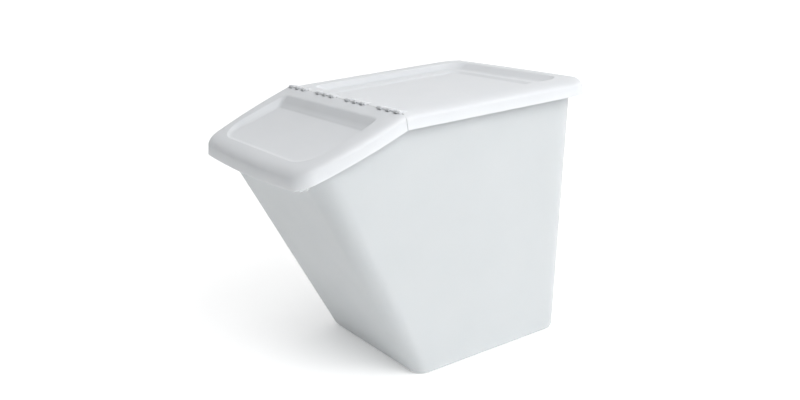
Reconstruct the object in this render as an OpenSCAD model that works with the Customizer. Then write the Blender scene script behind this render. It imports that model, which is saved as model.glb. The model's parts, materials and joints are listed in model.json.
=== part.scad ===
// Pet food bin: a tapered storage tub with a sloping front, a recessed rear
// lid and a front flap that hinges on four moulded snap hinges.
// X is the width, -Y the front where the food comes out, +Z up.
// Moulded polypropylene throughout. All sizes in millimetres.

/* [Overall] */
// Width across the rear lid's skirt
lid_w = 394; // [315:1:480]
// Height of the lid's flat top above the floor
lid_h = 447; // [360:1:540]
// Length of the rear lid from its rear edge to the fold
lid_l = 365; // [300:1:440]
// Length of the front flap down its slope, fold to lip
flap_l = 191.4; // [150:0.1:230]
// Slope of the front flap below level, in degrees
flap_slope = 19.8; // [10:0.1:30]

/* [Tub] */
// Width of the base
base_w = 288; // [230:1:350]
// Base's rear edge, in from the lid's rear edge
base_rear = 40; // [25:1:60]
// Base's front edge, in from the fold (towards the rear)
base_front = 23.5; // [0:0.5:60]
// How far the lid overhangs the side walls at lid height
side_over = 14.4; // [12:0.1:24]
// How far the lid overhangs the rear wall at lid height
rear_over = 13.8; // [12:0.1:24]
// How far the flap's lip overhangs the front wall
front_over = 25; // [14:0.5:40]
// Upright corner radius at the base
base_r = 26; // [15:1:45]
// Upright corner radius at the rim
rim_r = 44; // [25:1:70]
// Wall thickness of the tub
wall = 2.4; // [1.6:0.1:4]
// Radius of the edge where the walls meet the base
foot_r = 7; // [3:0.5:12]
// Depth of the rim's turned-down edge
rim_drop = 12; // [6:0.5:20]
// Number of gussets under the rim at each front corner
gusset_n = 3; // [0:1:5]
// How far the gussets hang below the skirt
gusset_hang = 9; // [2:0.5:14]
// Gap in plan between the gussets and the flap's skirt
gusset_in = 13; // [8:0.5:20]

/* [Lids] */
// Thickness of the lid and flap
lid_t = 2.2; // [1.6:0.1:3.5]
// Height of the turned-down skirt
skirt_h = 23.2; // [15:0.1:35]
// Outward flare of the skirt over its height
skirt_flare = 3.4; // [1:0.1:6]
// Corner radius at the rear of the lid
rear_r = 40; // [20:1:70]
// Forward bow of the rear edge
rear_bow = 1.9; // [0:0.1:6]
// Narrowing of each side from the rear edge to the fold
fold_in = 3.1; // [0:0.1:10]
// Narrowing of each side from the fold to the flap's front corners
flap_in = 13.5; // [5:0.5:25]
// Outward bulge of the flap's sides
flap_bulge = 5.6; // [0:0.1:10]
// Corner radius at the front of the flap
flap_r = 40; // [20:1:70]
// Forward bow of the flap's lip
flap_bow = 5.2; // [0:0.1:10]
// Side clearance of a stacked bin's base in the lid's recess
stack_side = 3; // [2:0.5:6]
// End clearance of a stacked bin's base in the lid's recess
stack_end = 11; // [8:0.5:16]
// Extra run of the recess's gentle rear wall
rear_ease = 12; // [0:0.5:12]
// Depth of the lid's stacking recess
recess_d = 10; // [5:0.5:14]
// Further depth of the panel inside the stacking recess
panel_d = 3; // [1:0.5:6]
// Depth of the flap's recess at its hinge end
scoop_d = 13; // [5:0.5:15]
// Depth of the flap's recess at its lip end
scoop_lip_d = 1.6; // [1:0.1:4]

/* [Hinges] */
// Number of hinge groups along the fold
hinge_n = 4; // [2:1:5]
// Spacing of the hinge groups
hinge_pitch = 97; // [70:0.5:120]
// Spacing of the three lugs in a group
lug_pitch = 22; // [16:0.5:26]
// Width of one lug
lug_w = 9; // [6:0.5:12]
// Radius of the rod moulded on the flap
rod_r = 1.9; // [1.5:0.1:3]
// Radial running clearance of the rod in its lugs
rod_gap = 0.08; // [0.02:0.01:0.1]
// Wall of a lug round its rod
lug_t = 1.8; // [1.2:0.1:3]
// Clear gap between the lid and the flap at the fold
fold_gap = 0.8; // [0.6:0.1:2]

/* [Hidden] */
arc_n = 9;
eps = 0.01;
fit_gap = 0.6;
flap_run = flap_l * cos(flap_slope);
lip_z = lid_h - flap_l * sin(flap_slope);
y_mid = (lid_l + flap_run - rear_bow) / 2;
rear_w = lid_w / 2;
fold_w = rear_w - fold_in;
nose_w = fold_w - flap_in;
rim_inset = skirt_flare + lid_t + 1.8;
rim_z = lid_h - lid_t / cos(flap_slope) - fit_gap;
loft_z = lid_h + 4;
lug_r = rod_r + rod_gap + lug_t;
group_w = 2 * lug_pitch + lug_w + 1.2;
// How far the flap's windows reach in front of the fold, and their width
window_in = lug_r + 0.8;
window_w = lug_w + 1.2;
// How far the lid's notches reach behind the fold
notch_in = 3.6;
// Width of the notches outside the outer lugs
notch_side = 10;
// Broken top edge of the lids: inset past the flare, and depth
edge_steps = [[2.6, 0], [0.8, 0.9], [0, 2.8]];
// Run of the recess's wall at its sides and front
recess_side = 9;
recess_front = 6;
recess_rear = 7 + rear_ease;
// Width of the ledge round the inner panel at its sides, front and rear
ledge = [22, 10, 12];
// Run of the panel's wall
panel_run = 8;
// Corner radii of the recess and its panel, front and rear, at top and foot
recess_r = [[24, 36], [18, 28]];
panel_r = [[18, 22], [14, 18]];
// Border between the flap's outline and its recess at the fold
scoop_side = 44;
scoop_back = 22;
// Run of the flap recess's wall at its sides, lip and hinge end
scoop_run = [8, 7, 16];
// Corner radii of the flap's recess, lip and hinge end, at top and foot
scoop_r = [[44, 10], [38, 7]];
// Angle of the first gusset round a front corner, and the step between them
gusset_from = 40;
gusset_step = 24;
// How far a lug's foot runs back on to the lid
lug_run = 16;
// Boss at each end of a hinge rod: length and extra radius
boss_l = 5;
boss_r = rod_r + 0.6;
white = [0.93, 0.94, 0.945];
tub_white = [0.88, 0.9, 0.905];

// Points along an arc, anticlockwise
function arc(cx, cy, r, a0, a1, n = arc_n) =
    [for (i = [0:n]) let (t = a0 + (a1 - a0) * i / n) [cx + r * cos(t), cy + r * sin(t)]];

// A bowed edge between x0 and -x0 at depth y, bulging by bow
function bowed(x0, y, bow, n = 8) =
    [for (i = [1:n - 1]) let (q = 1 - 2 * i / n) [x0 * q, y + bow * (1 - q * q)]];

// Rounded rectangle between two x half-widths and two y limits
function round_rect(hw, y0, y1, rf, rb) = concat(
    arc(hw - rb, y1 - rb, rb, 0, 90), arc(rb - hw, y1 - rb, rb, 90, 180),
    arc(rf - hw, y0 + rf, rf, 180, 270), arc(hw - rf, y0 + rf, rf, 270, 360));

// Plan outline of the rear lid, moved in by d
function rear_pts(d, y_end) = let (w = rear_w - d, r = rear_r - d) concat(
    [[fold_w - d, y_end]],
    arc(w - r, -d - r, r, 0, 90), bowed(w - r, -d, rear_bow), arc(r - w, -d - r, r, 90, 180),
    [[d - fold_w, y_end]]);

// Half of the flap's outline in its sloping plane, moved in by d: a bulged side
// from the fold, a corner that meets it smoothly, and a lip bowed forward
function flap_half(d) = let (
    l = flap_l - d, r = flap_r - d, f = fold_w - d,
    g = atan(2 * flap_bow / (nose_w - flap_r)),
    ct = l - flap_bow - r * cos(g),
    b = atan((flap_in + 4 * flap_bulge) / ct),
    m = ct + r * sin(b), cx = f - flap_in - r * cos(b), xe = cx + r * sin(g)) concat(
    [for (i = [0:8]) let (q = i / 9) [f - flap_in * q + flap_bulge * 4 * q * (1 - q), m * q]],
    arc(cx, ct, r, b, 90 - g),
    [for (i = [1:6]) let (q = 1 - i / 6) [xe * q, l - flap_bow * q * q]]);

// The whole outline, with the fold at y = 0 and the lip towards -y
function flap_pts(d) = let (h = flap_half(d), n = len(h)) concat(
    [for (p = h) [p[0], -p[1]]],
    [for (i = [2:n]) let (p = h[n - i]) [-p[0], -p[1]]]);

module flap_2d(d) {
    polygon(flap_pts(d));
}

module rear_2d(d, y_end) {
    polygon(rear_pts(d, y_end));
}

// Carries a shape drawn level at the fold onto the flap's slope
module sloped() {
    translate([0, -lid_l, lid_h]) rotate([flap_slope, 0, 0]) children();
}

// Thin slices of the lid and flap, for lofting
module rear_slice(d, down, y_end) {
    translate([0, 0, lid_h - down - eps]) linear_extrude(height = eps) rear_2d(d, y_end);
}

module flap_slice(d, down) {
    translate([0, 0, -down]) sloped() translate([0, 0, -eps]) linear_extrude(height = eps) flap_2d(d);
}

module rect_slice(hw, y0, y1, rf, rb, z) {
    translate([0, 0, z]) linear_extrude(height = eps) polygon(round_rect(hw, y0, y1, rf, rb));
}

// Everything under the lid line moved down by top, forward to the lip
module under(top, low) {
    x = lid_w;
    front = -lid_l - flap_run - 40;
    drop = (flap_run + 40) * tan(flap_slope);
    rotate([90, 0, 90]) linear_extrude(height = 2 * x, center = true) polygon([
        [60, lid_h - low], [60, lid_h - top], [-lid_l, lid_h - top],
        [front, lid_h - top - drop], [front, lid_h - low - drop], [-lid_l, lid_h - low]]);
}

// ---------------------------------------------------------------- tub

// Width, rear and front of the tub's outside at height z
function tub_w(z) = base_w / 2 + z * (rear_w - side_over - base_w / 2) / lid_h;
function tub_rear(z) = -base_rear + z * (base_rear - rear_over) / lid_h;
function tub_front(z) = -lid_l + base_front - z * (flap_run - front_over + base_front) / lip_z;
function tub_r(z) = base_r + (rim_r - base_r) * z / lid_h;

module tub_slice(z, d) {
    r = max(tub_r(z) - d, 3);
    rect_slice(tub_w(z) - d, tub_front(z) + d, tub_rear(z) - d, r, r, z);
}

// Tapered body with a rounded foot; d moves it in and floor lifts it
module tub_body(d, floor) {
    f = max(foot_r - d, 1);
    hull() {
        tub_slice(floor, d + f);
        tub_slice(floor + f * 0.3, d + f * 0.29);
        tub_slice(floor + f, d);
        tub_slice(loft_z, d);
    }
}

// Plan outline of the rim, lid and flap together, moved in by d
module rim_2d(d) {
    rear_2d(d, -lid_l - eps);
    translate([0, -lid_l]) scale([1, cos(flap_slope)]) flap_2d(d);
}

// Flat rim with its edge turned down, still solid across the mouth
module rim() {
    top = lid_h - rim_z;
    intersection() {
        linear_extrude(height = loft_z) rim_2d(rim_inset);
        under(top, top + wall);
    }
    intersection() {
        linear_extrude(height = loft_z) difference() {
            rim_2d(rim_inset);
            rim_2d(rim_inset + wall);
        }
        under(top, top + rim_drop);
    }
}

// Gussets between the tub's front corners and the underside of the rim
module gussets() {
    reach = flap_r - gusset_in;
    y_arc = -lid_l - (flap_l - flap_bow - flap_r) * cos(flap_slope);
    intersection() {
        for (s = [-1, 1], i = [0:1:gusset_n - 1]) {
            along = gusset_from + gusset_step * i;
            translate([s * (nose_w - flap_r), y_arc, 0]) rotate([0, 0, s > 0 ? -along : 180 + along])
                translate([0, -wall / 2, 0]) cube([reach, wall, lid_h]);
        }
        under(lid_h - rim_z + wall / 2, skirt_h + gusset_hang);
    }
}

module storage_tub() {
    color(tub_white) translate([0, y_mid, 0]) difference() {
        union() {
            intersection() {
                tub_body(0, 0);
                under(lid_h - rim_z, lid_h + 200);
            }
            rim();
            gussets();
        }
        tub_body(wall, wall);
    }
}

// ---------------------------------------------------------------- rear lid

module rear_shell() {
    y_cut = -lid_l + fold_gap / 2;
    t = lid_t;
    f = skirt_flare;
    difference() {
        hull() {
            for (e = edge_steps) rear_slice(f + e[0], e[1], y_cut);
            rear_slice(0, skirt_h, y_cut);
        }
        hull() {
            rear_slice(f + t + 1, t, y_cut - 5);
            rear_slice(f + t - 0.3, t + 2, y_cut - 5);
            rear_slice(t - 0.2, skirt_h + 1, y_cut - 5);
        }
    }
}

// Solid that fills the stacking recess and its panel, grown by g
module recess(g) {
    hw = base_w / 2 + stack_side;
    y0 = -lid_l + base_front + 2.5;
    y1 = -base_rear + stack_end + rear_ease;
    side = recess_side + ledge[0];
    front = recess_front + ledge[1];
    rear = recess_rear + ledge[2];
    up = g > 0 ? -0.7 : 0.8;
    hull() {
        rect_slice(hw + g, y0 - g, y1 + g, recess_r[0][0] + g, recess_r[0][1] + g, lid_h + up);
        rect_slice(hw - recess_side + g, y0 + recess_front - g, y1 - recess_rear + g,
            recess_r[1][0] + g, recess_r[1][1] + g, lid_h - recess_d - g);
    }
    hull() {
        rect_slice(hw - side + g, y0 + front - g, y1 - rear + g,
            panel_r[0][0] + g, panel_r[0][1] + g, lid_h - recess_d + 1.4);
        rect_slice(hw - side - panel_run + g, y0 + front + panel_run - g, y1 - rear - panel_run + g,
            panel_r[1][0] + g, panel_r[1][1] + g, lid_h - recess_d - panel_d - g);
    }
}

// X positions of the hinge groups and of the lugs within a group
function group_x(i) = (i - (hinge_n - 1) / 2) * hinge_pitch;

// Side profile of a lug: round in front, running down on to the lid behind
function lug_pts() = concat(
    arc(0, 0, lug_r, 90, 232, 14), [[3, -lid_t], [lug_run, -lid_t]],
    [[lug_run, -0.4], [lug_run - 6, 0.9], [3, lug_r - 0.5]]);

// Notch of width w through the lid's edge, centred at x
module notch(x, w) {
    translate([x - w / 2, -5, -8]) cube([w, 5 + notch_in, 16]);
}

module rear_lid() {
    color(white) translate([0, y_mid, 0]) difference() {
        union() {
            rear_shell();
            recess(lid_t);
            for (i = [0:hinge_n - 1], k = [-1:1]) translate([group_x(i) + k * lug_pitch, -lid_l, lid_h])
                rotate([90, 0, 90]) linear_extrude(height = lug_w, center = true) polygon(lug_pts());
        }
        recess(0);
        for (i = [0:hinge_n - 1]) translate([group_x(i), -lid_l, lid_h]) {
            rotate([0, 90, 0]) cylinder(r = rod_r + rod_gap, h = group_w + 20, center = true, $fn = 40);
            for (k = [-1:1]) translate([k * lug_pitch - lug_w, -rod_r * 0.8, -12])
                cube([2 * lug_w, rod_r * 1.6, 12]);
            for (s = [-1, 1]) {
                notch(s * (lug_w + notch_side + 2 * lug_pitch) / 2, notch_side);
                notch(s * lug_pitch / 2, lug_pitch - lug_w);
            }
        }
    }
}

// ---------------------------------------------------------------- front flap

module flap_shell() {
    t = lid_t;
    f = skirt_flare;
    difference() {
        hull() {
            for (e = edge_steps) flap_slice(f + e[0], e[1]);
            flap_slice(0, skirt_h);
        }
        hull() {
            flap_slice(f + t + 0.8, t / cos(flap_slope));
            flap_slice(f + t - 0.3, t + 2);
            flap_slice(t - 0.2, skirt_h + 1);
        }
    }
}

// Solid that fills the flap's recess, in the sloping plane, grown by g
module scoop(g) {
    hw = fold_w - scoop_side;
    y1 = -scoop_back;
    y0 = -flap_l + front_over + 4;
    tilt = atan((scoop_d - scoop_lip_d) / (y1 - y0 - 10));
    up = g > 0 ? -0.7 : 0.8;
    hull() {
        rect_slice(hw + g, y0 - g, y1 + g, scoop_r[0][0] + g, scoop_r[0][1] + g, up);
        translate([0, y1, -scoop_d - g]) rotate([-tilt, 0, 0]) translate([0, -y1, 0])
            rect_slice(hw - scoop_run[0] + g, y0 + scoop_run[1] - g, y1 - scoop_run[2] + g,
                scoop_r[1][0], scoop_r[1][1], 0);
    }
}

module front_flap() {
    color(white) translate([0, y_mid, 0]) difference() {
        union() {
            difference() {
                union() {
                    flap_shell();
                    sloped() scoop(lid_t);
                }
                sloped() scoop(0);
                translate([-lid_w, -lid_l - fold_gap / 2, lid_h - 80]) cube([2 * lid_w, 60, 120]);
                for (i = [0:hinge_n - 1], k = [-1:1])
                    translate([group_x(i) + k * lug_pitch - window_w / 2, -lid_l - window_in, lid_h - 10])
                        cube([window_w, window_in + 8, 16]);
            }
            for (i = [0:hinge_n - 1]) translate([group_x(i), -lid_l, lid_h]) {
                rotate([0, 90, 0]) cylinder(r = rod_r, h = group_w + boss_l, center = true, $fn = 40);
                for (s = [-1, 1]) translate([s * (group_w + boss_l) / 2, 0, 0]) {
                    rotate([0, 90, 0]) cylinder(r = boss_r, h = boss_l, center = true, $fn = 40);
                    rotate([flap_slope, 0, 0]) translate([-boss_l / 2, -boss_l, -lid_t])
                        cube([boss_l, boss_l, lid_t]);
                }
            }
        }
    }
}

storage_tub();
rear_lid();
front_flap();
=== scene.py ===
"""Pet food bin: the looks of a moulded storage tub, its rear lid and its hinged
front flap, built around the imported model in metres. X is the width, -Y the
front, +Z up. Sizes below are in millimetres and turned to metres by MM."""
import json
import math

import bmesh
import bpy
from bpy.props import FloatProperty, FloatVectorProperty, PointerProperty, StringProperty
from mathutils import Matrix, Vector


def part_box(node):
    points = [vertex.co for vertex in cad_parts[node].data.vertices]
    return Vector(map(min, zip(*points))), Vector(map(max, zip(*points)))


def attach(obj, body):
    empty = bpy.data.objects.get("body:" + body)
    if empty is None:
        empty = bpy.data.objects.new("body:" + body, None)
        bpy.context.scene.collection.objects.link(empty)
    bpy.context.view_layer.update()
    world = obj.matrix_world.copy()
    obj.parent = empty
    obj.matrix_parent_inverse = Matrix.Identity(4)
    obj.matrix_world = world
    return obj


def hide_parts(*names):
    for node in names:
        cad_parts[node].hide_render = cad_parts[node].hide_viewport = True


bl_info = {
    "name": "Pet Food Bin",
    "version": (1, 0, 0),
    "blender": (4, 5, 0),
    "location": "View3D > Sidebar > Pet Bin",
    "description": "Builds a moulded pet food bin with a lift-off lid and a hinged front flap",
    "category": "Add Mesh",
}

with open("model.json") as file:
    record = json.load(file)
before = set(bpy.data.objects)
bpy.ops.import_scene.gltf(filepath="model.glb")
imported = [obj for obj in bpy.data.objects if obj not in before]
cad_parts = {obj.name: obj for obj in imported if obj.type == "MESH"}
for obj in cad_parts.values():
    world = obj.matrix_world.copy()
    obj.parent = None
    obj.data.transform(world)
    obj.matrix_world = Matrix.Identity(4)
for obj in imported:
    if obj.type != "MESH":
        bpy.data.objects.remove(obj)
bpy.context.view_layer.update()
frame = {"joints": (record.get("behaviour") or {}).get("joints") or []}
MM = 0.001


# ---------------------------------------------------------------- sizes

def joint(name):
    """The record's joint of that name."""
    return next(j for j in frame["joints"] if j["name"] == name)


LID_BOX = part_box("rear_lid")
FLAP_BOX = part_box("front_flap")
HINGE = Vector(joint("flap_hinge")["pos_m"])
LID_W = (LID_BOX[1].x - LID_BOX[0].x) / MM
LID_H = HINGE.z / MM
REAR_BOW = 1.9
REAR_Y = LID_BOX[1].y / MM - REAR_BOW
FOLD_Y = HINGE.y / MM
FLAP_RUN = FOLD_Y - FLAP_BOX[0].y / MM
FLAP_SLOPE = math.radians(19.8)
FLAP_L = FLAP_RUN / math.cos(FLAP_SLOPE)
GROUPS = 4
GROUP_PITCH = 97.0
LUG_PITCH = 22.0
LUG_W = 9.0
ROD_R = 1.9
BORE_R = 1.98
LUG_R = 3.78
BOSS_R, BOSS_L = ROD_R + 0.6, 5
GROUP_W = 2 * LUG_PITCH + LUG_W + 1.2
WINDOW_W = LUG_W + 1.2


class BinLidSizes(bpy.types.PropertyGroup):
    """Sizes shared by the rear lid and the front flap."""

    plate: FloatProperty(name="Plate", description="Thickness of the lid's plate",
                         default=2.2 * MM, unit="LENGTH")
    skirt: FloatProperty(name="Skirt", description="Height of the turned-down skirt",
                         default=23.2 * MM, unit="LENGTH")
    flare: FloatProperty(name="Flare", description="Outward flare of the skirt",
                         default=3.4 * MM, unit="LENGTH")
    edge: FloatProperty(name="Edge drop", description="How far down the soft top edge reaches",
                        default=9 * MM, unit="LENGTH")
    lid_crown: FloatProperty(name="Lid crown", description="Width of the crown along the lid's border",
                             default=34 * MM, unit="LENGTH")
    flap_crown: FloatProperty(name="Flap crown", description="Width of the crown along the flap's border",
                              default=20 * MM, unit="LENGTH")
    recess: FloatProperty(name="Recess", description="Depth of the stacking recess",
                          default=10 * MM, unit="LENGTH")
    panel: FloatProperty(name="Panel", description="Further depth of the inner panel",
                         default=3 * MM, unit="LENGTH")
    scoop: FloatProperty(name="Scoop", description="Depth of the flap's recess at the hinge",
                         default=13 * MM, unit="LENGTH")
    scoop_lip: FloatProperty(name="Scoop at lip", description="Depth of the flap's recess at the lip",
                             default=1.6 * MM, unit="LENGTH")


class BinTubSizes(bpy.types.PropertyGroup):
    """Sizes of the storage tub."""

    wall: FloatProperty(name="Wall", description="Wall thickness", default=2.4 * MM, unit="LENGTH")
    base_w: FloatProperty(name="Base width", description="Width of the base",
                          default=288 * MM, unit="LENGTH")
    foot: FloatProperty(name="Foot radius", description="Radius where walls meet base",
                        default=7 * MM, unit="LENGTH")
    rim_drop: FloatProperty(name="Rim drop", description="Depth of the rim's turned-down edge",
                            default=12 * MM, unit="LENGTH")


class BinFinish(bpy.types.PropertyGroup):
    """Colours and gloss of the mouldings."""

    lid_hex: StringProperty(name="Lid colour", description="sRGB colour of the lid and flap",
                            default="D9DBDE")
    tub_hex: StringProperty(name="Tub colour", description="sRGB colour of the tub", default="D2D6D8")
    lid_roughness: FloatProperty(name="Lid roughness", description="Roughness of the lid's satin face",
                                 default=0.5, min=0.0, max=1.0, subtype="FACTOR")
    tub_roughness: FloatProperty(name="Tub roughness", description="Roughness of the tub's satin face",
                                 default=0.52, min=0.0, max=1.0, subtype="FACTOR")


class BinStage(bpy.types.PropertyGroup):
    """Camera and lights."""

    azimuth: FloatProperty(name="Azimuth", description="Camera angle round the bin",
                           default=math.radians(57.7), subtype="ANGLE")
    elevation: FloatProperty(name="Elevation", description="Camera angle above level",
                             default=math.radians(16.8), subtype="ANGLE")
    roll: FloatProperty(name="Roll", description="Camera roll", default=math.radians(-3.8), subtype="ANGLE")
    distance: FloatProperty(name="Distance", description="Camera distance", default=1.5904, unit="LENGTH")
    lens: FloatProperty(name="Lens", description="Focal length on a 36 mm sensor, in mm", default=41.63)
    target: FloatVectorProperty(name="Target", description="Point the camera looks at",
                                default=(0.0, 0.0074, 0.2543), subtype="TRANSLATION")
    side_light: FloatProperty(name="Side light", description="Brightness of the side light", default=0.21)
    softbox_watts: FloatProperty(name="Softbox", description="Power of the near softbox",
                                 default=8.0, unit="POWER")
    top_light: FloatProperty(name="Top light", description="Brightness of the overhead light", default=0.22)
    air: FloatProperty(name="Surround", description="Brightness of the surround behind the bin",
                       default=0.84)
    front_air: FloatProperty(name="Front surround", description="Brightness of the surround in front",
                             default=0.03)
    floor_glow: FloatProperty(name="Floor glow", description="Light that the opal floor gives off",
                              default=0.2)


# ---------------------------------------------------------------- shaping

def arc(cx, cy, r, a0, a1, n):
    """Points on an arc, in degrees, both ends included."""
    steps = [math.radians(a0 + (a1 - a0) * i / n) for i in range(n + 1)]
    return [(cx + r * math.cos(t), cy + r * math.sin(t)) for t in steps]


def line(p, q, n):
    """n points from p towards q, leaving q out."""
    return [(p[0] + (q[0] - p[0]) * i / n, p[1] + (q[1] - p[1]) * i / n) for i in range(n)]


def fillet(p, corner, q, r, n=5):
    """Profile points that round the corner between p and q with radius r."""
    a, b, c = Vector(p), Vector(corner), Vector(q)
    u, v = (a - b).normalized(), (c - b).normalized()
    half = u.angle(v) / 2
    cut = min(r / math.tan(half), (a - b).length * 0.49, (c - b).length * 0.49)
    centre = b + (u + v).normalized() * cut / math.cos(half)
    start = b + u * cut - centre
    turn = (b + v * cut - centre).angle_signed(start)
    return [tuple(centre + Matrix.Rotation(turn * i / n, 2) @ start) for i in range(n + 1)]


def with_normals(profile):
    """Each profile point with the unit normal on its right, (d, z, nd, nz)."""
    out = []
    for i, p in enumerate(profile):
        before = Vector(p) - Vector(profile[max(i - 1, 0)])
        after = Vector(profile[min(i + 1, len(profile) - 1)]) - Vector(p)
        run = before.normalized() + after.normalized()
        out.append((*p, *Vector((-run.y, run.x)).normalized()))
    return out


def along(at, stops, values):
    """Value at a place between stops, straight between them and beyond them."""
    k = next((i for i in range(1, len(stops) - 1) if at < stops[i]), len(stops) - 1)
    q = (at - stops[k - 1]) / (stops[k] - stops[k - 1])
    return values[k - 1] + (values[k] - values[k - 1]) * q


class Shell:
    """A moulded wall built from paired rings: its seen face and its back face."""

    def __init__(self):
        self.bm = bmesh.new()
        self.back = {}

    def ring(self, face, back):
        verts = [self.bm.verts.new(Vector(p) * MM) for p in face]
        for v, p in zip(verts, back):
            self.back[v] = self.bm.verts.new(Vector(p) * MM)
        return verts

    def strip(self, a, b, closed=True):
        for i in range(len(a) if closed else len(a) - 1):
            j = (i + 1) % len(a)
            self.quad(a[i], a[j], b[j], b[i])

    def quad(self, *verts):
        self.bm.faces.new(verts)
        self.bm.faces.new([self.back[v] for v in reversed(verts)])

    def done(self, name):
        """Closes the edge all round and returns the object."""
        edges = [e for e in self.bm.edges if e.is_boundary and e.verts[0] in self.back]
        for e in edges:
            a, b = e.verts
            self.bm.faces.new((b, a, self.back[a], self.back[b]))
        return mesh_object(name, self.bm)


def mesh_object(name, bm):
    """Turns a bmesh into a linked object with outward normals."""
    bmesh.ops.recalc_face_normals(bm, faces=bm.faces)
    mesh = bpy.data.meshes.new(name)
    bm.to_mesh(mesh)
    bm.free()
    obj = bpy.data.objects.new(name, mesh)
    bpy.context.scene.collection.objects.link(obj)
    return obj


def prism(bm, a, b):
    """A closed solid between two matching outlines of points in mm."""
    low = [bm.verts.new(Vector(p) * MM) for p in a]
    high = [bm.verts.new(Vector(p) * MM) for p in b]
    for i in range(len(low)):
        j = (i + 1) % len(low)
        bm.faces.new((low[i], low[j], high[j], high[i]))
    bm.faces.new(low)
    bm.faces.new(high)


def apply(obj, kind, **settings):
    """Adds a modifier with its settings and applies it."""
    mod = obj.modifiers.new(kind, kind)
    for key, value in settings.items():
        setattr(mod, key, value)
    bpy.context.view_layer.update()
    view = obj.evaluated_get(bpy.context.evaluated_depsgraph_get())
    mesh = bpy.data.meshes.new_from_object(view)
    obj.modifiers.clear()
    old = obj.data
    obj.data = mesh
    bpy.data.meshes.remove(old)
    return obj


def combine(obj, other, how):
    """Joins or cuts obj with other, which is used up."""
    before = len(obj.data.polygons)
    apply(obj, "BOOLEAN", operation=how, object=other, solver="MANIFOLD")
    mesh = other.data
    bpy.data.objects.remove(other)
    bpy.data.meshes.remove(mesh)
    if len(obj.data.polygons) < 4 or before == len(obj.data.polygons):
        raise RuntimeError(f"{obj.name}: the {how.lower()} did nothing")
    return obj


def boxes(name, spans):
    """One object of many boxes, each given by its low and high corners in mm."""
    bm = bmesh.new()
    for lo, hi in spans:
        outline = [(lo[0], lo[1]), (hi[0], lo[1]), (hi[0], hi[1]), (lo[0], hi[1])]
        prism(bm, [(x, y, lo[2]) for x, y in outline], [(x, y, hi[2]) for x, y in outline])
    return mesh_object(name, bm)


def finish_mesh(obj, bevel, smooth=32):
    """Breaks the hard moulded edges and smooths the curved faces."""
    if bevel:
        apply(obj, "BEVEL", width=bevel * MM, segments=2, limit_method="ANGLE", angle_limit=math.radians(40),
              harden_normals=False)
    obj.data.polygons.foreach_set("use_smooth", [True] * len(obj.data.polygons))
    obj.data.set_sharp_from_angle(angle=math.radians(smooth))
    apply(obj, "WEIGHTED_NORMAL", mode="FACE_AREA_WITH_ANGLE", weight=60, keep_sharp=True)
    return obj


def group_x(i):
    """X of the middle of a hinge group."""
    return (i - (GROUPS - 1) / 2) * GROUP_PITCH


# ---------------------------------------------------------------- rear lid

# Steps along the sides, corners, rear and front of the lids' outlines
SIDE_N, CORNER_N, BACK_N, FRONT_N = 12, 12, 12, 6
FOLD_IN, FLAP_IN, BULGE, FLAP_BOW = 3.1, 13.5, 5.6, 5.2
REAR_R, FLAP_R = 40.0, 40.0
# Share of the crown's width that the rear border has
REAR_SHARE = 0.12
HALF_GAP = 0.4
# Stacking recess: half width, and how far it stays off the fold and the rear edge
RECESS_HALF, RECESS_FRONT, RECESS_REAR = 147.0, 26.0, 17.0
# Notches in the lid's edge: past a hinge group's ends, and behind the fold
NOTCH_SIDE, NOTCH_IN = 9.0, 3.6
# Gap between a lug and its window's front edge
WINDOW_GAP = 0.8
FOLD_W = LID_W / 2 - FOLD_IN


def edge_profile(sizes, crown):
    """The skirt and its crowned top edge as (inset, depth) from the bottom up."""
    flare, skirt, drop = sizes.flare / MM, sizes.skirt / MM, sizes.edge / MM
    rise = [(flare * q, skirt * (1 - q)) for q in (0.0, 0.04, 0.3, 0.5)]
    start = Vector((flare * (1 - drop / skirt), drop))
    top, land = Vector((flare, 0.0)), Vector((flare + crown / MM, 0.0))
    return with_normals(rise + [tuple(bend(start, top, land, i / 12)) for i in range(13)])


def bend(start, corner, end, q):
    """A point on the soft curve from start to end that turns at corner."""
    return start * (1 - q) ** 2 + corner * 2 * q * (1 - q) + end * q * q


def rear_outline(d, flare):
    """From the near fold end round the back to the far fold end, inset by d.

    Past the flare the rear edge moves in less, because its border is narrower."""
    dy = d if d < flare else flare + (d - flare) * REAR_SHARE
    w, f, y1 = LID_W / 2 - d, FOLD_W - d, REAR_Y - dy
    rx, ry = REAR_R - d, REAR_R - dy
    y0 = FOLD_Y + HALF_GAP
    turn = [math.radians(90 * i / CORNER_N) for i in range(CORNER_N + 1)]
    corner = [(w - rx + rx * math.cos(t), y1 - ry + ry * math.sin(t)) for t in turn]
    near = line((f, y0), (w, y1 - ry), SIDE_N) + corner
    steps = [1 - 2 * i / BACK_N for i in range(1, BACK_N)]
    back = [((w - rx) * q, y1 + REAR_BOW * (1 - q * q)) for q in steps]
    return near + back + [(-x, y) for x, y in reversed(near)]


def across_fold(half_width):
    """X of the points along the fold between its two ends."""
    n = SIDE_N + 2 * FRONT_N
    return [-half_width + 2 * half_width * i / n for i in range(1, n)]


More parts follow.
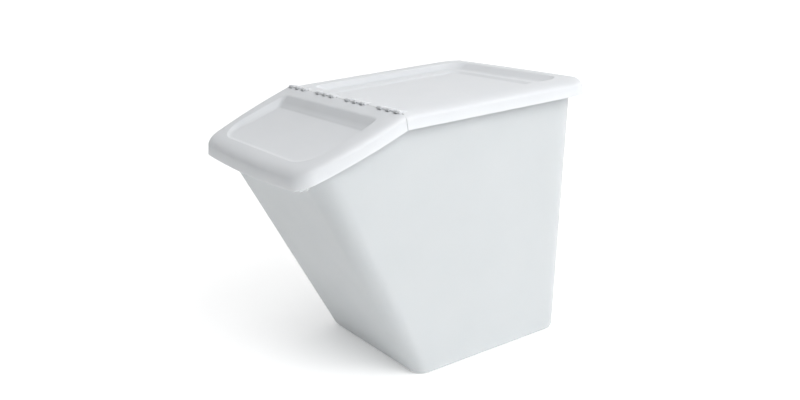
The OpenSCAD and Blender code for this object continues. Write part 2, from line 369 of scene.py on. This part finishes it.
def recess_outline(d):
    """Closed outline of the stacking recess d in from its top edge."""
    stops = (0, 9, 31, 39)
    hw = RECESS_HALF - d
    y0 = FOLD_Y + RECESS_FRONT + along(d, stops, (0, 6, 16, 24))
    y1 = REAR_Y - RECESS_REAR - along(d, stops, (0, 19, 31, 39))
    rf, rb = along(d, stops, (24, 18, 18, 14)), along(d, stops, (36, 28, 22, 18))
    near = line((hw, y0 + rf), (hw, y1 - rb), SIDE_N) + arc(hw - rb, y1 - rb, rb, 0, 90, CORNER_N)
    back = line((hw - rb, y1), (rb - hw, y1), BACK_N)[1:]
    far = arc(rb - hw, y1 - rb, rb, 90, 180, CORNER_N) + line((-hw, y1 - rb), (-hw, y0 + rf), SIDE_N)[1:]
    front = arc(rf - hw, y0 + rf, rf, 180, 270, FRONT_N) + line((rf - hw, y0), (hw - rf, y0), SIDE_N)[1:]
    return near + back + far + front + arc(hw - rf, y0 + rf, rf, 270, 360, FRONT_N)[:-1]


def recess_profile(sizes):
    """Down the recess's wall, across its ledge and down into the panel."""
    recess, floor = sizes.recess / MM, (sizes.recess + sizes.panel) / MM
    path = [(-4, 0), (1.0, 0), (8.5, recess), (31, recess), (38.5, floor), (48, floor)]
    radii = (3.4, 5.0, 9.0, 9.0)
    points = [path[0]]
    for i, r in enumerate(radii):
        points += fillet(path[i], path[i + 1], path[i + 2], r)
    return with_normals(points + [path[-1]])


class BINLOOK_OT_rear_lid(bpy.types.Operator):
    """Build the rear lid with its skirt, stacking recess and hinge lugs"""

    bl_idname = "binlook.rear_lid"
    bl_label = "Rear lid"

    def execute(self, context):
        s = context.scene.bin_lids
        t = s.plate / MM
        shell = Shell()
        last = None
        flare = s.flare / MM
        for d, z, nd, nz in edge_profile(s, s.lid_crown):
            face = [(x, y, LID_H - z) for x, y in rear_outline(d, flare)]
            back = [(x, y, LID_H - z - nz * t) for x, y in rear_outline(d + nd * t, flare)]
            ring = shell.ring(face, back)
            if last:
                shell.strip(last, ring, closed=False)
            last = ring
        fold = across_fold(FOLD_W - d)
        fold_y = FOLD_Y + HALF_GAP
        last += shell.ring([(x, fold_y, LID_H) for x in fold], [(x, fold_y, LID_H - t) for x in fold])
        for d, z, nd, nz in recess_profile(s):
            face = [(x, y, LID_H - z) for x, y in recess_outline(d)]
            back = [(x, y, LID_H - z - nz * t) for x, y in recess_outline(d + nd * t)]
            ring = shell.ring(face, back)
            shell.strip(last, ring)
            last = ring
        shell.quad(*last)
        lid = shell.done("rear_lid_moulding")
        reach = GROUP_W / 2 + NOTCH_SIDE
        spans = [((group_x(i) - reach, FOLD_Y - 3, LID_H - 7),
                  (group_x(i) + reach, FOLD_Y + NOTCH_IN, LID_H + 7)) for i in range(GROUPS)]
        combine(lid, boxes("notches", spans), "DIFFERENCE")
        combine(lid, hinge_lugs(), "UNION")
        finish_mesh(lid, 0.35)
        lid.data.materials.clear()
        lid.data.materials.append(satin_polypropylene(context.scene.bin_finish))
        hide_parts("rear_lid")
        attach(lid, "lid")
        return {"FINISHED"}


def hinge_lugs():
    """Snap lugs of the rear lid, each a C that grips the flap's rod from above."""
    mouth = ROD_R * 0.8
    low = math.degrees(math.acos(mouth / BORE_R))
    profile = [(16, -0.4), (10, 0.9), (3.4, LUG_R - 0.55)]
    profile += arc(0, 0, LUG_R, 82, 232, 16)
    profile += [(-mouth, -LUG_R * 0.82)]
    profile += arc(0, 0, BORE_R, 180 + low, -low, 18)
    profile += [(mouth, -2.6), (16, -2.6)]
    bm = bmesh.new()
    for i in range(GROUPS):
        for k in (-1, 0, 1):
            x = group_x(i) + k * LUG_PITCH
            prism(bm, [(x - LUG_W / 2, FOLD_Y + y, LID_H + z) for y, z in profile],
                  [(x + LUG_W / 2, FOLD_Y + y, LID_H + z) for y, z in profile])
    return mesh_object("lugs", bm)


# ---------------------------------------------------------------- front flap

def flap_half(d):
    """Half of the flap's outline as (x, t), t down the slope from the fold."""
    nose = FOLD_W - FLAP_IN
    length, r, f = FLAP_L - d, FLAP_R - d, FOLD_W - d
    g = math.atan(2 * FLAP_BOW / (nose - FLAP_R))
    ct = length - FLAP_BOW - r * math.cos(g)
    b = math.atan((FLAP_IN + 4 * BULGE) / ct)
    m, cx = ct + r * math.sin(b), f - FLAP_IN - r * math.cos(b)
    xe = cx + r * math.sin(g)
    steps = [i / SIDE_N for i in range(SIDE_N)]
    side = [(f - FLAP_IN * q + BULGE * 4 * q * (1 - q), m * q) for q in steps]
    corner = arc(cx, ct, r, math.degrees(b), 90 - math.degrees(g), CORNER_N)
    return side + corner + [(xe * q, length - FLAP_BOW * q * q) for q in (1 - i / 6 for i in range(1, 7))]


def flap_outline(d):
    """From the near fold end round the lip to the far fold end, inset by d."""
    half = flap_half(d)
    half[0] = (half[0][0], HALF_GAP)
    return half + [(-x, t) for x, t in reversed(half[:-1])]


def on_slope(x, t, depth=0.0, drop=0.0):
    """A point t down the flap, depth under its plane and drop straight down."""
    c, s = math.cos(FLAP_SLOPE), math.sin(FLAP_SLOPE)
    return (x, FOLD_Y - t * c - depth * s, LID_H - t * s - depth * c - drop)


# Flap's recess: its hinge and lip ends down the slope, side border and bowed sides
SCOOP_T0, SCOOP_T1 = 22.0, FLAP_L - 29.0
SCOOP_SIDE, SCOOP_BULGE = 44.0, 8.0


def scoop_outline(d):
    """Closed outline of the flap's recess d in from its top edge, as (x, t)."""
    stops = (0, 8, 60)
    hw = FOLD_W - SCOOP_SIDE - d
    t0, t1 = SCOOP_T0 + along(d, stops, (0, 16, 68)), SCOOP_T1 - along(d, stops, (0, 7, 59))
    rb, rf = along(d, stops, (10, 7, 3)), along(d, stops, (44, 38, 9))
    near = line((hw, t0 + rb), (hw, t1 - rf), SIDE_N) + arc(hw - rf, t1 - rf, rf, 0, 90, CORNER_N)
    half = near + [((hw - rf) * (1 - i / 6), t1) for i in range(1, 7)]
    back = arc(rb - hw, t0 + rb, rb, 180, 270, FRONT_N) + line((rb - hw, t0), (hw - rb, t0), SIDE_N)[1:]
    back += arc(hw - rb, t0 + rb, rb, 270, 360, FRONT_N)[:-1]
    ring = half + [(-x, t) for x, t in reversed(half[1:-1])] + back
    out = SCOOP_BULGE * min(max(1 - d / 8, 0), 1) / hw
    return [(x * (1 + out * 4 * scoop_share(t) * (1 - scoop_share(t))), t) for x, t in ring]


def scoop_share(t):
    """How far t is along the scoop, 0 at its hinge end and 1 at its lip end."""
    return min(max((t - SCOOP_T0) / (SCOOP_T1 - SCOOP_T0), 0), 1)


def scoop_profile():
    """The scoop's wall and floor as (inset, share of its depth, normal)."""
    nominal = 9.0
    path = [(-2, 0), (0.8, 0), (7.4, nominal), (30, nominal)]
    points = [path[0]] + fillet(*path[0:3], 4.5) + fillet(*path[1:4], 9.0, 8)
    points += [(d, nominal) for d in (18, 30, 42, 54, 60)]
    return [(d, z / nominal, nd, nz) for d, z, nd, nz in with_normals(points)]


def scoop_depth(t, sizes):
    """Depth of the scoop's floor, which curves up towards the lip."""
    return (sizes.scoop + (sizes.scoop_lip - sizes.scoop) * scoop_share(t) ** 2) / MM


class BINLOOK_OT_front_flap(bpy.types.Operator):
    """Build the front flap with its skirt, recess and hinge rods"""

    bl_idname = "binlook.front_flap"
    bl_label = "Front flap"

    def execute(self, context):
        s = context.scene.bin_lids
        t = s.plate / MM
        shell = Shell()
        last = None
        for d, z, nd, nz in edge_profile(s, s.flap_crown):
            face = [on_slope(x, v, 0, z) for x, v in flap_outline(d)]
            back = [on_slope(x, v, 0, z + nz * t) for x, v in flap_outline(d + nd * t)]
            ring = shell.ring(face, back)
            if last:
                shell.strip(last, ring, closed=False)
            last = ring
        fold = across_fold(FOLD_W - d)
        last += shell.ring([on_slope(x, HALF_GAP) for x in fold], [on_slope(x, HALF_GAP, 0, t) for x in fold])
        for d, share, nd, nz in scoop_profile():
            face = [on_slope(x, v, share * scoop_depth(v, s)) for x, v in scoop_outline(d)]
            back = [on_slope(x, v, share * scoop_depth(v, s) + nz * t) for x, v in scoop_outline(d + nd * t)]
            ring = shell.ring(face, back)
            shell.strip(last, ring)
            last = ring
        shell.quad(*last)
        flap = shell.done("front_flap_moulding")
        middles = [group_x(i) + k * LUG_PITCH for i in range(GROUPS) for k in (-1, 0, 1)]
        spans = [((x - WINDOW_W / 2, FOLD_Y - LUG_R - WINDOW_GAP, LID_H - 12),
                  (x + WINDOW_W / 2, FOLD_Y + 8, LID_H + 6)) for x in middles]
        combine(flap, boxes("windows", spans), "DIFFERENCE")
        half = GROUP_W / 2
        combine(flap, rod_lengths("rods", ROD_R, [(-half - 2, half + 2)]), "UNION")
        bosses = [(-half - BOSS_L, -half), (half, half + BOSS_L)]
        combine(flap, rod_lengths("bosses", BOSS_R, bosses), "UNION")
        finish_mesh(flap, 0.35)
        flap.data.materials.clear()
        flap.data.materials.append(satin_polypropylene(context.scene.bin_finish))
        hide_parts("front_flap")
        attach(flap, "flap")
        return {"FINISHED"}


def rod_lengths(name, r, spans):
    """Round lengths on the hinge line, each span given from its group's middle."""
    bm = bmesh.new()
    circle = arc(0, 0, r, 0, 360, 24)[:-1]
    for i in range(GROUPS):
        for x0, x1 in spans:
            prism(bm, [(group_x(i) + x0, FOLD_Y + y, LID_H + z) for y, z in circle],
                  [(group_x(i) + x1, FOLD_Y + y, LID_H + z) for y, z in circle])
    return mesh_object(name, bm)


# ---------------------------------------------------------------- tub

# Gussets at a front corner: how many, how far in from the flap's outline, depth
# below the lid line, first angle and step
GUSSETS, GUSSET_IN, GUSSET_LOW, GUSSET_FROM, GUSSET_STEP = 3, 13.0, 32.2, 40, 24
RIM_DEPTH = 2.94
RIM_INSET = 7.4
# The lids' borders are crowned, so the rim sits lower and falls towards its edge.
RIM_SINK, RIM_FALL = 1.9, 2.2
BASE_REAR, BASE_FRONT = REAR_Y - 40.0, FOLD_Y + 23.5
SIDE_OVER, REAR_OVER, FRONT_OVER = 14.4, 13.8, 25.0
BASE_R, RIM_R = 26.0, 44.0
LIP_Z = LID_H - FLAP_L * math.sin(FLAP_SLOPE)
HALF_BACK_N, SIDE_BACK_N, SIDE_FRONT_N, HALF_FRONT_N = 8, 14, 10, 8


def tub_section(z, base_w, d=0.0):
    """Half width, rear, front and corner radius of the walls at height z."""
    hw = base_w / 2 + z * (LID_W / 2 - SIDE_OVER - base_w / 2) / LID_H
    rear = BASE_REAR + z * (REAR_Y - REAR_OVER - BASE_REAR) / LID_H
    front = BASE_FRONT - z * (FLAP_RUN - FRONT_OVER + BASE_FRONT - FOLD_Y) / LIP_Z
    return hw - d, rear - d, front + d, BASE_R + (RIM_R - BASE_R) * z / LID_H - d


def tub_half(z, base_w, crease, d=0.0):
    """Half outline from the rear's middle to the front's middle at height z."""
    hw, rear, front, r = tub_section(z, base_w, d)
    ya, yb = rear - r, front + r
    yc = ya + (yb - ya) * crease
    points = line((0, rear), (hw - r, rear), HALF_BACK_N)
    points += arc(hw - r, ya, r, 90, 0, CORNER_N)[:-1]
    points += line((hw, ya), (hw, yc), SIDE_BACK_N) + line((hw, yc), (hw, yb), SIDE_FRONT_N)
    points += arc(hw - r, yb, r, 0, -90, CORNER_N)[:-1]
    return points + line((hw - r, front), (0, front), HALF_FRONT_N) + [(0, front)]


def resample(points, n):
    """n points spread evenly by index along a list, both ends included."""
    out = []
    for i in range(n):
        q = i / (n - 1) * (len(points) - 1)
        k = min(int(q), len(points) - 2)
        out.append(tuple(Vector(points[k]).lerp(Vector(points[k + 1]), q - k)))
    return out


def rim_half(d):
    """Half outline of the rim in plan, matched to tub_half point by point."""
    w, r, y1 = LID_W / 2 - d, REAR_R - d, REAR_Y - d
    steps = [i / HALF_BACK_N for i in range(HALF_BACK_N)]
    points = [((w - r) * q, y1 + REAR_BOW * (1 - q * q)) for q in steps]
    points += arc(w - r, y1 - r, r, 90, 0, CORNER_N)[:-1]
    points += line((w, y1 - r), (FOLD_W - d, FOLD_Y), SIDE_BACK_N)
    plan = [(x, FOLD_Y - t * math.cos(FLAP_SLOPE)) for x, t in flap_half(d)]
    points += resample(plan[:SIDE_N + 1], SIDE_FRONT_N + 1)[:-1] + plan[SIDE_N:SIDE_N + CORNER_N]
    return points + resample(plan[SIDE_N + CORNER_N:], HALF_FRONT_N + 1)


def lid_line(y):
    """Height of the lid's flat top at y: level behind the fold, sloping in front."""
    return LID_H + min(y - FOLD_Y, 0) * math.tan(FLAP_SLOPE)


def meet(foot, head, below):
    """Where a wall's upright line comes to a depth below the lid line."""
    lo, hi = 0.0, 1.0
    for _ in range(40):
        mid = (lo + hi) / 2
        p = foot.lerp(head, mid)
        if p.z < lid_line(p.y) - below:
            lo = mid
        else:
            hi = mid
    return foot.lerp(head, lo)


def wall_column(foot, head, edge, depth, radius, drop):
    """One upright line of the wall: up from the foot, over the rim and down."""
    top = meet(foot, head, depth)
    down, out = (foot - top).normalized(), edge - top
    reach = out.normalized() * min(radius, out.length * 0.45)
    start, end = top + down * radius, top + reach
    points = [foot.lerp(start, k / 14) for k in range(1, 15)]
    points += [bend(start, top, end, q) for q in (0.25, 0.5, 0.75, 1.0)]
    points += [end.lerp(edge, 0.6)]
    bottom = edge - Vector((0, 0, drop))
    over, under = edge.lerp(end, 0.12), edge.lerp(bottom, 0.12)
    points += [bend(over, edge, under, q) for q in (0.0, 0.5, 1.0)]
    return points + [edge.lerp(bottom, 0.6), bottom]


def mirrored(half):
    """Whole ring from a half that starts and ends on the middle plane."""
    return half + [(-p[0], *p[1:]) for p in reversed(half[1:-1])]


class BINLOOK_OT_storage_tub(bpy.types.Operator):
    """Build the tapered tub with its foot, turned-down rim and corner gussets"""

    bl_idname = "binlook.storage_tub"
    bl_label = "Storage tub"

    def execute(self, context):
        s = context.scene.bin_tub
        wall, base_w, foot, drop = s.wall / MM, s.base_w / MM, s.foot / MM, s.rim_drop / MM
        hw, rear, front, r = tub_section(LID_H, base_w)
        crease = (rear - r - FOLD_Y) / (rear - front - 2 * r)
        shell = Shell()
        rings = []
        for k in range(7):
            t = math.radians(90 * (1 - k / 6))
            out = (foot * (1 - math.cos(t)), foot * (1 - math.sin(t)))
            back = (wall + (foot - wall) * (1 - math.cos(t)), wall + (foot - wall) * (1 - math.sin(t)))
            rings.append([mirrored([(x, y, z) for x, y in tub_half(z, base_w, crease, d)])
                          for d, z in (out, back)])
        sheets = []
        for d, depth, radius, edge_d, fall in ((0, RIM_DEPTH + wall, 4.0, RIM_INSET + wall, drop - wall),
                                               (wall, RIM_DEPTH, 2.0, RIM_INSET, drop)):
            feet = [Vector((*p, foot)) for p in tub_half(foot, base_w, crease, d)]
            heads = [Vector((*p, LID_H + 6)) for p in tub_half(LID_H + 6, base_w, crease, d)]
            edges = [Vector((x, y, lid_line(y) - depth - RIM_SINK - RIM_FALL)) for x, y in rim_half(edge_d)]
            columns = [wall_column(a, b, e, depth + RIM_SINK, radius, fall - RIM_SINK - RIM_FALL)
                       for a, b, e in zip(feet, heads, edges)]
            sheets.append([mirrored([tuple(p) for p in row]) for row in zip(*columns)])
        rings += list(zip(*sheets))
        made = [shell.ring(*pair) for pair in rings]
        for a, b in zip(made, made[1:]):
            shell.strip(a, b)
        shell.quad(*made[0])
        tub = shell.done("storage_tub_moulding")
        combine(tub, rim_gussets(wall, base_w), "UNION")
        finish_mesh(tub, 0.0)
        tub.data.materials.clear()
        tub.data.materials.append(natural_polypropylene(context.scene.bin_finish))
        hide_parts("storage_tub")
        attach(tub, "tub")
        return {"FINISHED"}


def wall_reach(centre, out, z, base_w):
    """Distance from a rim corner's centre out to the tub's wall at height z."""
    hw, _, front, r = tub_section(z, base_w)
    gap = centre - Vector((math.copysign(hw - r, centre.x), front + r))
    along_out = gap.dot(out)
    return -along_out + math.sqrt(along_out ** 2 - gap.dot(gap) + r * r)


def rim_gussets(wall, base_w):
    """Upright gussets under the rim at the two front corners, three to each."""
    cy = FOLD_Y - (FLAP_L - FLAP_BOW - FLAP_R) * math.cos(FLAP_SLOPE)
    reach, low = FLAP_R - GUSSET_IN, GUSSET_LOW
    bm = bmesh.new()
    for side in (-1, 1):
        centre = Vector((side * (FOLD_W - FLAP_IN - FLAP_R), cy))
        for i in range(GUSSETS):
            turn = math.radians(GUSSET_FROM + GUSSET_STEP * i)
            out = Vector((side * math.cos(turn), -math.sin(turn)))
            across = Vector((-out.y, out.x)) * wall / 2
            tip = centre + out * reach
            high_z = lid_line(tip.y) - RIM_DEPTH - RIM_SINK - RIM_FALL * 0.7 - wall * 0.5
            low_z = lid_line(tip.y) - low
            top_in = centre + out * (wall_reach(centre, out, high_z, base_w) - wall * 0.6)
            low_in = centre + out * (wall_reach(centre, out, low_z, base_w) - wall * 0.6)
            side_on = [(low_in, low_z), (tip, low_z), (tip, high_z), (top_in, high_z)]
            prism(bm, [(*(p + across), z) for p, z in side_on], [(*(p - across), z) for p, z in side_on])
    return mesh_object("gussets", bm)


# ---------------------------------------------------------------- materials

def linear(hex_colour):
    """An sRGB hex colour as linear red, green, blue and 1."""
    parts = [int(hex_colour[i:i + 2], 16) / 255 for i in (0, 2, 4)]
    return tuple(c / 12.92 if c <= 0.04045 else ((c + 0.055) / 1.055) ** 2.4 for c in parts) + (1.0,)


def node(tree, kind, settings=None, **links):
    """Adds a node, sets its sockets and properties, and links its inputs."""
    made = tree.nodes.new(kind)
    for key, value in (settings or {}).items():
        if key in made.inputs:
            made.inputs[key].default_value = value
        else:
            setattr(made, key, value)
    for key, source in links.items():
        tree.links.new(source, made.inputs[key.replace("_", " ")])
    return made


def moulded_grain(tree, fine_mm, broad_mm, fine_depth, broad_depth):
    """Satin spark-eroded grain over the slow waviness that cooling leaves."""
    where = node(tree, "ShaderNodeTexCoord").outputs["Object"]
    broad = node(tree, "ShaderNodeTexNoise", {"Scale": 1000 / broad_mm, "Detail": 1.0}, Vector=where)
    fine = node(tree, "ShaderNodeTexNoise", {"Scale": 1000 / fine_mm, "Detail": 2.0}, Vector=where)
    first = node(tree, "ShaderNodeBump", {"Strength": 1.0, "Distance": broad_depth * MM},
                 Height=broad.outputs["Fac"])
    second = node(tree, "ShaderNodeBump", {"Strength": 0.35, "Distance": fine_depth * MM},
                  Height=fine.outputs["Fac"], Normal=first.outputs["Normal"])
    return broad, fine, second


def polypropylene(name, colour, shade, roughness, scatter, radius):
    """Injection-moulded polypropylene: waxy, satin, lit a little from within."""
    found = bpy.data.materials.get(name)
    if found:
        return found
    mat = bpy.data.materials.new(name)
    mat.use_nodes = True
    tree = mat.node_tree
    tree.nodes.clear()
    broad, fine, bump = moulded_grain(tree, 1.2, 70.0, 0.02, 0.5)
    tint = node(tree, "ShaderNodeMix", {"data_type": "RGBA"}, Factor=broad.outputs["Fac"])
    tint.inputs[6].default_value = linear(colour)
    tint.inputs[7].default_value = linear(shade)
    gloss = node(tree, "ShaderNodeMapRange", {"To Min": roughness - 0.04, "To Max": roughness + 0.05},
                 Value=fine.outputs["Fac"])
    skin = node(tree, "ShaderNodeBsdfPrincipled", {
        "IOR": 1.49, "Subsurface Weight": scatter, "Subsurface Scale": 0.01,
        "Subsurface Radius": radius, "Specular IOR Level": 0.5})
    tree.links.new(tint.outputs[2], skin.inputs["Base Color"])
    tree.links.new(gloss.outputs["Result"], skin.inputs["Roughness"])
    tree.links.new(bump.outputs["Normal"], skin.inputs["Normal"])
    end = node(tree, "ShaderNodeOutputMaterial")
    tree.links.new(skin.outputs["BSDF"], end.inputs["Surface"])
    return mat


def satin_polypropylene(look):
    # White pigmented polypropylene, injection-moulded against a satin steel
    # face: soft broad highlights and no see-through.
    return polypropylene("injection-moulded white polypropylene", look.lid_hex, "D4D7DA", look.lid_roughness,
                         0.5, (1.0, 0.95, 0.9))


def natural_polypropylene(look):
    # Thin natural-white polypropylene, injection-moulded: light spreads through
    # the wall, so edges glow a little and shadows stay soft.
    return polypropylene("injection-moulded natural-white polypropylene", look.tub_hex, "CDD2D4",
                         look.tub_roughness, 0.9, (1.0, 0.97, 0.94))


def studio_floor(glow):
    # Opal acrylic sheet, cast and matt sanded, lit softly from below so that it
    # vanishes into the white surround.
    mat = bpy.data.materials.new("matt opal cast acrylic")
    mat.use_nodes = True
    tree = mat.node_tree
    skin = tree.nodes["Principled BSDF"]
    where = node(tree, "ShaderNodeTexCoord").outputs["Object"]
    speck = node(tree, "ShaderNodeTexNoise", {"Scale": 400.0, "Detail": 2.0}, Vector=where)
    tint = node(tree, "ShaderNodeMix", {"data_type": "RGBA"}, Factor=speck.outputs["Fac"])
    tint.inputs[6].default_value = linear("FFFFFF")
    tint.inputs[7].default_value = linear("FCFCFC")
    # The lamps under the sheet stop short of its front, so its glow fades away from the bin, and its colour
    # there is painted grey: painted shade that darkens the floor in front of the bin.
    split = node(tree, "ShaderNodeSeparateXYZ", Vector=where)
    lit = node(tree, "ShaderNodeMapRange",
               {"interpolation_type": "SMOOTHSTEP", "From Min": -2.6, "From Max": -0.65},
               Value=split.outputs["Y"])
    shade = node(tree, "ShaderNodeMix", {"data_type": "RGBA"}, Factor=lit.outputs["Result"])
    # Painted shade: the grey that the floor's front is painted.
    shade.inputs[6].default_value = linear("B6B8BA")
    tree.links.new(tint.outputs[2], shade.inputs[7])
    glow_fall = node(tree, "ShaderNodeMath", {"operation": "MULTIPLY"})
    glow_fall.inputs[1].default_value = glow
    tree.links.new(lit.outputs["Result"], glow_fall.inputs[0])
    tree.links.new(shade.outputs[2], skin.inputs["Base Color"])
    tree.links.new(tint.outputs[2], skin.inputs["Emission Color"])
    tree.links.new(glow_fall.outputs["Value"], skin.inputs["Emission Strength"])
    skin.inputs["Roughness"].default_value = 0.9
    skin.inputs["Specular IOR Level"].default_value = 0.2
    return mat


# ---------------------------------------------------------------- stage

def camera_axes(stage):
    """Camera right, up and back vectors with the roll applied."""
    az, el, roll = stage.azimuth, stage.elevation, stage.roll
    back = Vector((math.sin(az) * math.cos(el), -math.cos(az) * math.cos(el), math.sin(el)))
    right = Vector((math.cos(az), math.sin(az), 0))
    up = back.cross(right)
    c, s = math.cos(roll), math.sin(roll)
    return c * right + s * up, -s * right + c * up, back


def broad_light(name, towards, spread, strength):
    """A distant softbox that spans spread degrees of the surround."""
    data = bpy.data.lights.new(name, "SUN")
    data.angle = math.radians(spread)
    data.energy = strength * math.pi
    lamp = bpy.data.objects.new(name, data)
    lamp.rotation_euler = Vector(towards).to_track_quat("Z", "Y").to_euler()
    lamp.location = Vector(towards) * 2
    bpy.context.scene.collection.objects.link(lamp)
    return lamp


def softbox(name, place, aim, size, watts):
    """A rectangular softbox that stands near the bin and is aimed at a point."""
    data = bpy.data.lights.new(name, "AREA")
    data.shape = "RECTANGLE"
    data.size, data.size_y = size
    data.energy = watts
    lamp = bpy.data.objects.new(name, data)
    lamp.location = place
    lamp.rotation_euler = (Vector(place) - Vector(aim)).to_track_quat("Z", "Y").to_euler()
    bpy.context.scene.collection.objects.link(lamp)
    return lamp


class BINLOOK_OT_stage(bpy.types.Operator):
    """Set the pale floor, the soft lights and the camera"""

    bl_idname = "binlook.stage"
    bl_label = "Stage"

    def execute(self, context):
        s = context.scene.bin_stage
        right, up, back = camera_axes(s)
        data = bpy.data.cameras.new("camera")
        data.lens, data.sensor_width = s.lens, 36.0
        cam = bpy.data.objects.new("camera", data)
        turn = Matrix((right, up, back)).transposed().to_4x4()
        cam.matrix_world = Matrix.Translation(Vector(s.target) + back * s.distance) @ turn
        context.scene.collection.objects.link(cam)
        context.scene.camera = cam

        bm = bmesh.new()
        bm.faces.new([bm.verts.new((x, y, -0.0005)) for x, y in ((-40, -40), (40, -40), (40, 40), (-40, 40))])
        floor = mesh_object("floor", bm)
        floor.data.materials.append(studio_floor(s.floor_glow))

        world = bpy.data.worlds.new("white surround")
        world.use_nodes = True
        tree = world.node_tree
        where = node(tree, "ShaderNodeTexCoord").outputs["Generated"]
        split = node(tree, "ShaderNodeSeparateXYZ", Vector=where)
        # The surround is bright behind and beside the bin and dim in front of it.
        fade = node(tree, "ShaderNodeMapRange", {"interpolation_type": "SMOOTHSTEP", "From Min": -0.8,
                    "From Max": 0.2, "To Min": s.front_air, "To Max": s.air}, Value=split.outputs["Y"])
        backdrop = tree.nodes["Background"]
        backdrop.inputs["Color"].default_value = (1, 1, 1, 1)
        tree.links.new(fade.outputs["Result"], backdrop.inputs["Strength"])
        context.scene.world = world
        broad_light("side light", (1.0, 0.05, 0.85), 50, s.side_light)
        broad_light("overhead light", (0.1, -0.4, 1.0), 40, s.top_light)
        softbox("near softbox", (1.2, 0.1, 1.3), (0.15, 0.0, 0.3), (1.0, 0.8), s.softbox_watts)
        context.scene.view_settings.view_transform = "Standard"
        context.scene.view_settings.look = "None"
        return {"FINISHED"}


class BINLOOK_PT_panel(bpy.types.Panel):
    """Sizes, finishes and the build steps of the bin"""

    bl_label = "Pet food bin"
    bl_idname = "BINLOOK_PT_panel"
    bl_space_type = "VIEW_3D"
    bl_region_type = "UI"
    bl_category = "Pet Bin"

    def draw(self, context):
        for group in ("bin_lids", "bin_tub", "bin_finish", "bin_stage"):
            settings = getattr(context.scene, group)
            box = self.layout.box()
            for name in settings.bl_rna.properties.keys():
                if name not in ("rna_type", "name"):
                    box.prop(settings, name)
        for step in STEPS:
            self.layout.operator(step.bl_idname)


GROUP_CLASSES = {"bin_lids": BinLidSizes, "bin_tub": BinTubSizes, "bin_finish": BinFinish,
                 "bin_stage": BinStage}
STEPS = (BINLOOK_OT_storage_tub, BINLOOK_OT_rear_lid, BINLOOK_OT_front_flap, BINLOOK_OT_stage)


def register():
    for cls in (*GROUP_CLASSES.values(), *STEPS, BINLOOK_PT_panel):
        bpy.utils.register_class(cls)
    for name, cls in GROUP_CLASSES.items():
        setattr(bpy.types.Scene, name, PointerProperty(type=cls))


def unregister():
    for name in GROUP_CLASSES:
        delattr(bpy.types.Scene, name)
    for cls in reversed((*GROUP_CLASSES.values(), *STEPS, BINLOOK_PT_panel)):
        bpy.utils.unregister_class(cls)


def main():
    register()
    bpy.ops.binlook.storage_tub()
    bpy.ops.binlook.rear_lid()
    bpy.ops.binlook.front_flap()
    bpy.ops.binlook.stage()


if __name__ == "__main__":
    main()
